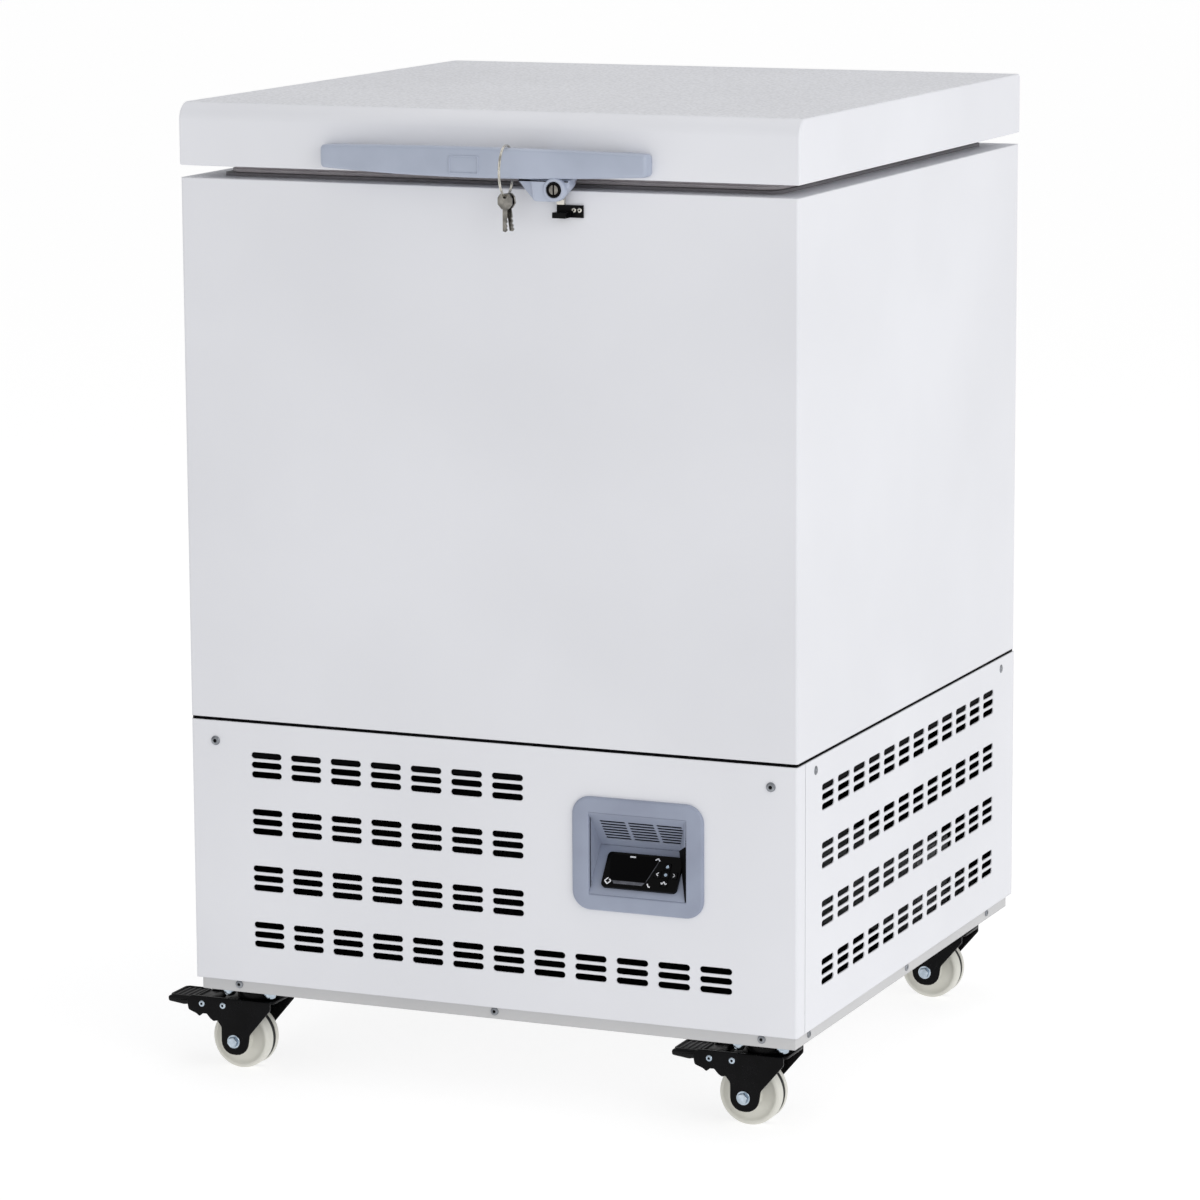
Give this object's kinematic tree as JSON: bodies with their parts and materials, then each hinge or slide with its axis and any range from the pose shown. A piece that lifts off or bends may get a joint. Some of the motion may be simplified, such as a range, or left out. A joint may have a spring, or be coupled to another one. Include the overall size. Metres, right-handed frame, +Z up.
{
  "type": "ultra low temperature freezer",
  "caption": "Chest-type laboratory freezer on swivel casters, with a hinged locking lid, louvred machine base and a recessed temperature controller.",
  "frame": {"origin": "on the floor under the middle of the cabinet", "axes": "+Z up, the front faces -Y, +X to the right seen from the front"},
  "size_m": [0.6495, 0.6674, 0.908],
  "materials": {
    "cabinet_enamel": "satin",
    "base_enamel": "satin",
    "pan_zinc": "satin",
    "frame_black": "satin",
    "liner_steel": "satin",
    "insulation": "matte",
    "rim_plastic": "matte",
    "gasket_rubber": "matte",
    "copper": "satin",
    "fin_aluminium": "satin",
    "compressor_black": "satin",
    "grommet_rubber": "matte",
    "fan_plastic": "matte",
    "motor_metal": "satin",
    "box_metal": "satin",
    "inlet_plastic": "matte",
    "bezel_plastic": "matte",
    "controller_plastic": "gloss",
    "key_plastic": "gloss",
    "hinge_metal": "satin",
    "handle_plastic": "satin",
    "lock_plastic": "satin",
    "lock_chrome": "polished",
    "keeper_black": "satin",
    "caster_black": "gloss",
    "wheel_nylon": "satin",
    "pedal_black": "satin"
  },
  "bodies": {
    "cabinet": {"outer_shell": "cabinet_enamel", "foam_body": "insulation", "inner_liner": "liner_steel", "mouth_frame": "rim_plastic", "evaporator_coil": "copper", "base_pan": "pan_zinc", "base_frame": "frame_black", "front_panel": "base_enamel", "left_panel": "base_enamel", "right_panel": "base_enamel", "rear_panel": "base_enamel", "control_bezel": "bezel_plastic", "controller_case": "controller_plastic", "compressor": "compressor_black", "compressor_grommets": "grommet_rubber", "condenser": "fin_aluminium", "fan_shroud": "fan_plastic", "fan_motor": "motor_metal", "filter_drier": "copper", "refrigerant_pipes": "copper", "caster_plates": "caster_black", "electrical_box": "box_metal", "power_inlet": "inlet_plastic", "hinge_bases": "hinge_metal", "lock_keeper": "keeper_black"},
    "lid": {"lid_shell": "cabinet_enamel", "lid_foam": "insulation", "lid_liner": "rim_plastic", "lid_gasket": "gasket_rubber", "hinge_arms": "hinge_metal", "handle": "handle_plastic", "lock_housing": "lock_plastic"},
    "lock_cylinder": {"lock_cylinder": "lock_chrome"},
    "lock_bolt": {"lock_bolt": "lock_chrome"},
    "key_ring": {"key_ring": "lock_chrome"},
    "lock_key_front": {"lock_key_front": "lock_chrome"},
    "lock_key_rear": {"lock_key_rear": "lock_chrome"},
    "fan_blade": {"fan_blade": "fan_plastic"},
    "push_key_up": {"push_key_up": "key_plastic"},
    "push_key_down": {"push_key_down": "key_plastic"},
    "push_key_left": {"push_key_left": "key_plastic"},
    "push_key_right": {"push_key_right": "key_plastic"},
    "push_key_set": {"push_key_set": "key_plastic"},
    "caster_fork_front_left": {"caster_fork_front_left": "caster_black"},
    "caster_wheel_front_left": {"caster_wheel_front_left": "wheel_nylon"},
    "brake_pedal_front_left": {"brake_pedal_front_left": "pedal_black"},
    "caster_fork_front_right": {"caster_fork_front_right": "caster_black"},
    "caster_wheel_front_right": {"caster_wheel_front_right": "wheel_nylon"},
    "brake_pedal_front_right": {"brake_pedal_front_right": "pedal_black"},
    "caster_fork_rear_left": {"caster_fork_rear_left": "caster_black"},
    "caster_wheel_rear_left": {"caster_wheel_rear_left": "wheel_nylon"},
    "caster_fork_rear_right": {"caster_fork_rear_right": "caster_black"},
    "caster_wheel_rear_right": {"caster_wheel_rear_right": "wheel_nylon"}
  },
  "joints": [
    {"name": "lid_hinge", "type": "hinge", "parent": "cabinet", "child": "lid", "pos_m": [0, 0.314, 0.8455], "axis": [-1, 0, 0], "range_deg": [0, 85]},
    {"name": "lock_turn", "type": "hinge", "parent": "lid", "child": "lock_cylinder", "pos_m": [0.08, -0.324, 0.8426], "axis": [0, 1, 0], "range_deg": [0, 90]},
    {"name": "bolt_slide", "type": "slide", "parent": "lid", "child": "lock_bolt", "axis": [0, 0, -1], "range_m": [0, 0.009]},
    {"name": "ring_swing", "type": "hinge", "parent": "lid", "child": "key_ring", "pos_m": [0.035, -0.31739, 0.8781], "axis": [-1, 0, 0], "range_deg": [0, 25]},
    {"name": "key_swing_front", "type": "hinge", "parent": "key_ring", "child": "lock_key_front", "pos_m": [0.035, -0.3243, 0.83574], "axis": [0, 1, 0], "range_deg": [-20, 20]},
    {"name": "key_swing_rear", "type": "hinge", "parent": "key_ring", "child": "lock_key_rear", "pos_m": [0.035, -0.3243, 0.83574], "axis": [0, 1, 0], "range_deg": [-20, 20]},
    {"name": "fan_spin", "type": "hinge", "parent": "cabinet", "child": "fan_blade", "pos_m": [-0.13, -0.1677, 0.1845], "axis": [0, 1, 0], "continuous": true},
    {"name": "push_up", "type": "slide", "parent": "cabinet", "child": "push_key_up", "axis": [0, 0.8096, -0.587], "range_m": [0, 0.0006], "stiffness_N_per_m": 300},
    {"name": "push_down", "type": "slide", "parent": "cabinet", "child": "push_key_down", "axis": [0, 0.8096, -0.587], "range_m": [0, 0.0006], "stiffness_N_per_m": 300},
    {"name": "push_left", "type": "slide", "parent": "cabinet", "child": "push_key_left", "axis": [0, 0.8096, -0.587], "range_m": [0, 0.0006], "stiffness_N_per_m": 300},
    {"name": "push_right", "type": "slide", "parent": "cabinet", "child": "push_key_right", "axis": [0, 0.8096, -0.587], "range_m": [0, 0.0006], "stiffness_N_per_m": 300},
    {"name": "push_set", "type": "slide", "parent": "cabinet", "child": "push_key_set", "axis": [0, 0.8096, -0.587], "range_m": [0, 0.0006], "stiffness_N_per_m": 300},
    {"name": "swivel_front_left", "type": "hinge", "parent": "cabinet", "child": "caster_fork_front_left", "pos_m": [-0.2565, -0.2575, 0.075], "axis": [0, 0, 1], "continuous": true},
    {"name": "roll_front_left", "type": "hinge", "parent": "caster_fork_front_left", "child": "caster_wheel_front_left", "pos_m": [-0.2705, -0.2575, 0.029], "axis": [0, 1, 0], "continuous": true},
    {"name": "brake_front_left", "type": "hinge", "parent": "caster_fork_front_left", "child": "brake_pedal_front_left", "pos_m": [-0.3025, -0.2575, 0.06], "axis": [0, -1, 0], "range_deg": [0, 16]},
    {"name": "swivel_front_right", "type": "hinge", "parent": "cabinet", "child": "caster_fork_front_right", "pos_m": [0.2565, -0.2575, 0.075], "axis": [0, 0, 1], "continuous": true},
    {"name": "roll_front_right", "type": "hinge", "parent": "caster_fork_front_right", "child": "caster_wheel_front_right", "pos_m": [0.2425, -0.2575, 0.029], "axis": [0, 1, 0], "continuous": true},
    {"name": "brake_front_right", "type": "hinge", "parent": "caster_fork_front_right", "child": "brake_pedal_front_right", "pos_m": [0.2105, -0.2575, 0.06], "axis": [0, -1, 0], "range_deg": [0, 16]},
    {"name": "swivel_rear_left", "type": "hinge", "parent": "cabinet", "child": "caster_fork_rear_left", "pos_m": [-0.2565, 0.231, 0.075], "axis": [0, 0, 1], "continuous": true},
    {"name": "roll_rear_left", "type": "hinge", "parent": "caster_fork_rear_left", "child": "caster_wheel_rear_left", "pos_m": [-0.2705, 0.231, 0.029], "axis": [0, 1, 0], "continuous": true},
    {"name": "swivel_rear_right", "type": "hinge", "parent": "cabinet", "child": "caster_fork_rear_right", "pos_m": [0.2565, 0.231, 0.075], "axis": [0, 0, 1], "continuous": true},
    {"name": "roll_rear_right", "type": "hinge", "parent": "caster_fork_rear_right", "child": "caster_wheel_rear_right", "pos_m": [0.2425, 0.231, 0.029], "axis": [0, 1, 0], "continuous": true}
  ],
  "couplings": [
    {"joint": "lock_turn", "follows": "bolt_slide", "rad_per_m": 174.53}
  ]
}
